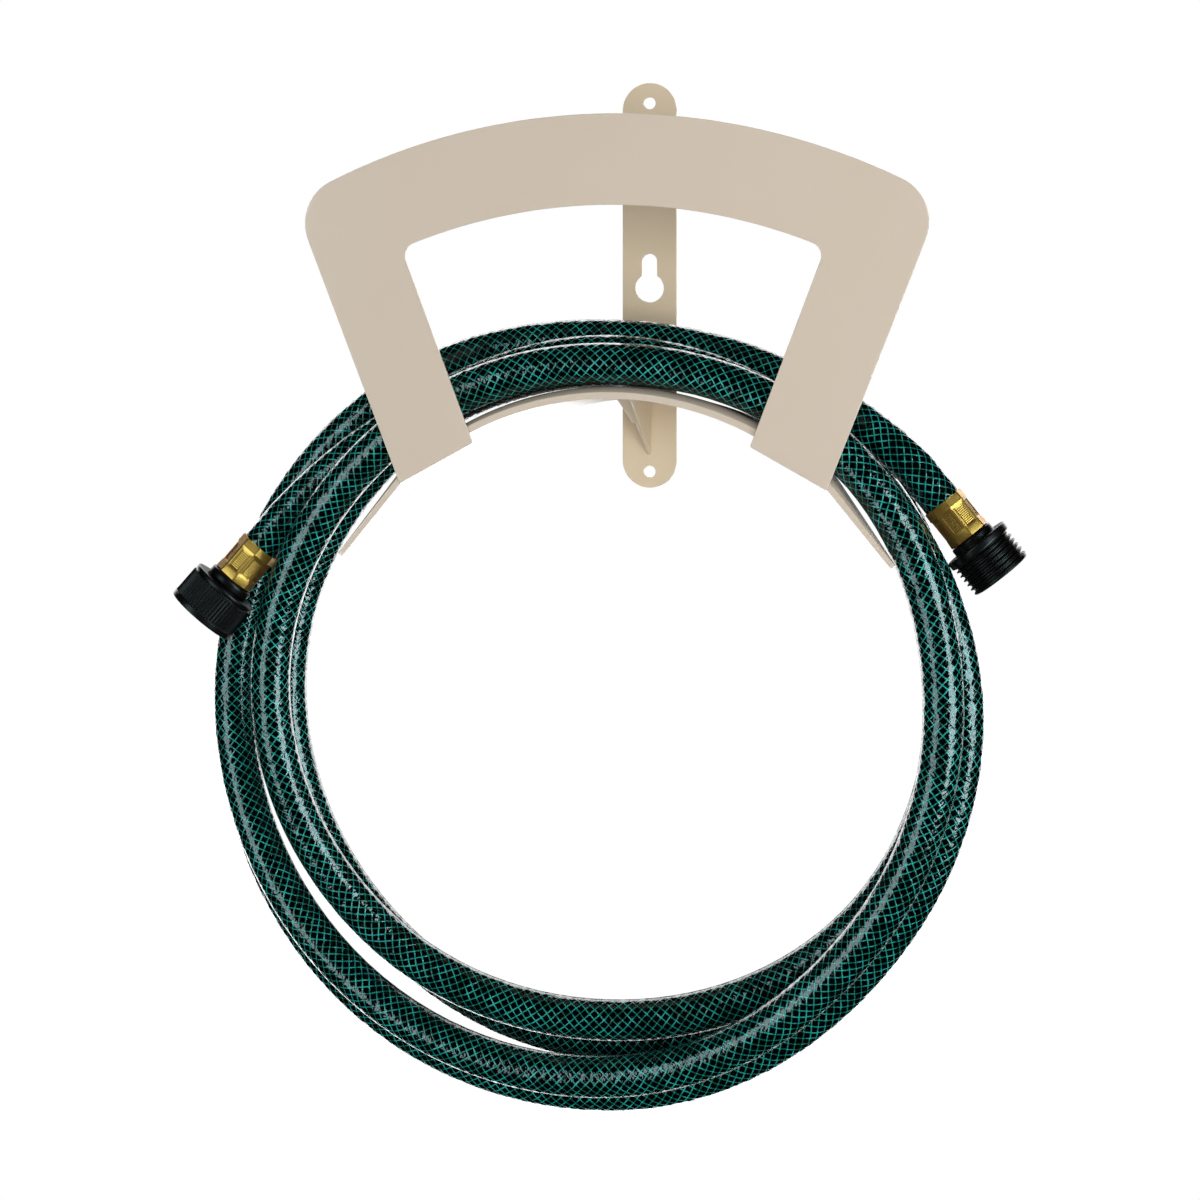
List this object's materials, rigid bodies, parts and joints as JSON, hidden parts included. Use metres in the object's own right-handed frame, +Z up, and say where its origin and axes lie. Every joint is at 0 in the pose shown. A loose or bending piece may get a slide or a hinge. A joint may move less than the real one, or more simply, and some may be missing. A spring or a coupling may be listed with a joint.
{
  "type": "wall hose hanger",
  "caption": "Wall hose hanger of pressed and welded steel sheet, with an arch-shaped front guard, a curved saddle and a coiled garden hose hanging on it.",
  "frame": {"origin": "back face of the wall plate, level with the top of the saddle's front edge", "axes": "+X to the right as seen from the front, +Y into the wall, +Z up"},
  "size_m": [0.3522, 0.0982, 0.4278],
  "materials": {
    "taupe_coat": "glossy powder coat",
    "green_hose": "clear glossy sleeve over green net",
    "brass": "pressed and knurled",
    "black_plastic": "moulded, satin",
    "washer_rubber": "matte"
  },
  "bodies": {
    "hanger": {"back_plate": "taupe_coat", "saddle": "taupe_coat", "front_guard": "taupe_coat", "gusset": "taupe_coat"},
    "hose_set": {"hose": "green_hose", "female_ferrule": "brass", "female_tail": "black_plastic", "male_ferrule": "brass", "male_fitting": "black_plastic"},
    "swivel_nut": {"swivel_nut": "black_plastic", "hose_washer": "washer_rubber"}
  },
  "joints": [
    {"name": "hose_lift", "type": "slide", "parent": "hanger", "child": "hose_set", "axis": [0, 0, 1], "range_m": [0, 0.09]},
    {"name": "nut_spin", "type": "hinge", "parent": "hose_set", "child": "swivel_nut", "pos_m": [-0.17136, -0.08174, -0.09267], "axis": [-0.6259, -0.196, -0.7549], "continuous": true}
  ]
}
